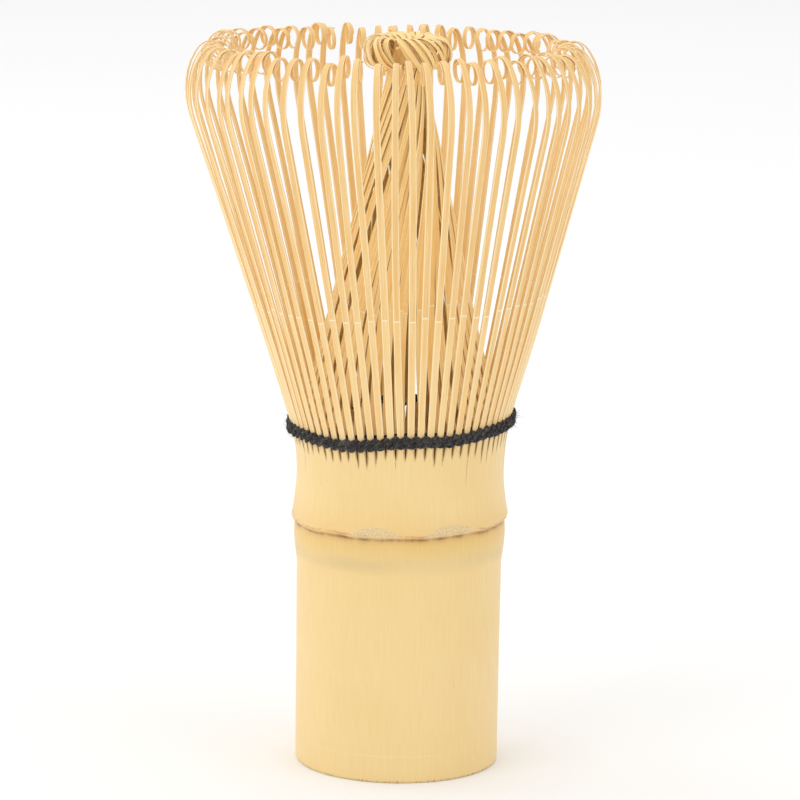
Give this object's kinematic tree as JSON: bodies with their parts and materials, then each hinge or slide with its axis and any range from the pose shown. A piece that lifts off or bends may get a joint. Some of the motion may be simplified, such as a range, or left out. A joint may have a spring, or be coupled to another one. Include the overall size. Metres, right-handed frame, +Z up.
{
  "type": "bamboo tea whisk",
  "caption": "Bamboo tea whisk: a hollow culm handle split into an outer ring of curled tines and a gathered inner bundle, bound with black thread.",
  "frame": {"origin": "centre of the ring face at the bottom of the handle, which the whisk stands on", "axes": "+Z up along the handle's axis, towards the tines; +X to the picture's right, -Y towards the viewer"},
  "size_m": [0.0606, 0.0606, 0.1084],
  "materials": {
    "bamboo_handle": "natural satin",
    "outer_tine": "natural satin",
    "inner_tine": "split bamboo, matt",
    "black_thread": "twisted cotton"
  },
  "bodies": {
    "culm": {"handle": "bamboo_handle", "thread_lower_row": "black_thread", "thread_upper_row": "black_thread", "spacer_thread": "black_thread", "thread_knot": "black_thread", "inner_tines_01": "inner_tine", "inner_tines_02": "inner_tine", "inner_tines_03": "inner_tine", "inner_tines_04": "inner_tine", "inner_tines_05": "inner_tine", "inner_tines_06": "inner_tine", "inner_tines_07": "inner_tine"},
    "outer_tines_01": {"outer_tines_01": "outer_tine"},
    "outer_tines_02": {"outer_tines_02": "outer_tine"},
    "outer_tines_03": {"outer_tines_03": "outer_tine"},
    "outer_tines_04": {"outer_tines_04": "outer_tine"},
    "outer_tines_05": {"outer_tines_05": "outer_tine"},
    "outer_tines_06": {"outer_tines_06": "outer_tine"},
    "outer_tines_07": {"outer_tines_07": "outer_tine"},
    "outer_tines_08": {"outer_tines_08": "outer_tine"},
    "outer_tines_09": {"outer_tines_09": "outer_tine"},
    "outer_tines_10": {"outer_tines_10": "outer_tine"},
    "outer_tines_11": {"outer_tines_11": "outer_tine"},
    "outer_tines_12": {"outer_tines_12": "outer_tine"},
    "outer_tines_13": {"outer_tines_13": "outer_tine"},
    "outer_tines_14": {"outer_tines_14": "outer_tine"}
  },
  "joints": [
    {"name": "outer_flex_01", "type": "hinge", "parent": "culm", "child": "outer_tines_01", "pos_m": [0.01565, 0.00357, 0.0513], "axis": [-0.2225, 0.9749, 0], "range_deg": [-2, 4], "stiffness_Nm_per_rad": 0.02},
    {"name": "outer_flex_02", "type": "hinge", "parent": "culm", "child": "outer_tines_02", "pos_m": [0.01255, 0.01001, 0.0513], "axis": [-0.6235, 0.7818, 0], "range_deg": [-2, 4], "stiffness_Nm_per_rad": 0.02},
    {"name": "outer_flex_03", "type": "hinge", "parent": "culm", "child": "outer_tines_03", "pos_m": [0.00696, 0.01446, 0.0513], "axis": [-0.901, 0.4339, 0], "range_deg": [-2, 4], "stiffness_Nm_per_rad": 0.02},
    {"name": "outer_flex_04", "type": "hinge", "parent": "culm", "child": "outer_tines_04", "pos_m": [0, 0.01605, 0.0513], "axis": [-1, 0, 0], "range_deg": [-2, 4], "stiffness_Nm_per_rad": 0.02},
    {"name": "outer_flex_05", "type": "hinge", "parent": "culm", "child": "outer_tines_05", "pos_m": [-0.00696, 0.01446, 0.0513], "axis": [-0.901, -0.4339, 0], "range_deg": [-2, 4], "stiffness_Nm_per_rad": 0.02},
    {"name": "outer_flex_06", "type": "hinge", "parent": "culm", "child": "outer_tines_06", "pos_m": [-0.01255, 0.01001, 0.0513], "axis": [-0.6235, -0.7818, 0], "range_deg": [-2, 4], "stiffness_Nm_per_rad": 0.02},
    {"name": "outer_flex_07", "type": "hinge", "parent": "culm", "child": "outer_tines_07", "pos_m": [-0.01565, 0.00357, 0.0513], "axis": [-0.2225, -0.9749, 0], "range_deg": [-2, 4], "stiffness_Nm_per_rad": 0.02},
    {"name": "outer_flex_08", "type": "hinge", "parent": "culm", "child": "outer_tines_08", "pos_m": [-0.01565, -0.00357, 0.0513], "axis": [0.2225, -0.9749, 0], "range_deg": [-2, 4], "stiffness_Nm_per_rad": 0.02},
    {"name": "outer_flex_09", "type": "hinge", "parent": "culm", "child": "outer_tines_09", "pos_m": [-0.01255, -0.01001, 0.0513], "axis": [0.6235, -0.7818, 0], "range_deg": [-2, 4], "stiffness_Nm_per_rad": 0.02},
    {"name": "outer_flex_10", "type": "hinge", "parent": "culm", "child": "outer_tines_10", "pos_m": [-0.00696, -0.01446, 0.0513], "axis": [0.901, -0.4339, 0], "range_deg": [-2, 4], "stiffness_Nm_per_rad": 0.02},
    {"name": "outer_flex_11", "type": "hinge", "parent": "culm", "child": "outer_tines_11", "pos_m": [0, -0.01605, 0.0513], "axis": [1, 0, 0], "range_deg": [-2, 4], "stiffness_Nm_per_rad": 0.02},
    {"name": "outer_flex_12", "type": "hinge", "parent": "culm", "child": "outer_tines_12", "pos_m": [0.00696, -0.01446, 0.0513], "axis": [0.901, 0.4339, 0], "range_deg": [-2, 4], "stiffness_Nm_per_rad": 0.02},
    {"name": "outer_flex_13", "type": "hinge", "parent": "culm", "child": "outer_tines_13", "pos_m": [0.01255, -0.01001, 0.0513], "axis": [0.6235, 0.7818, 0], "range_deg": [-2, 4], "stiffness_Nm_per_rad": 0.02},
    {"name": "outer_flex_14", "type": "hinge", "parent": "culm", "child": "outer_tines_14", "pos_m": [0.01565, -0.00357, 0.0513], "axis": [0.2225, 0.9749, 0], "range_deg": [-2, 4], "stiffness_Nm_per_rad": 0.02}
  ]
}
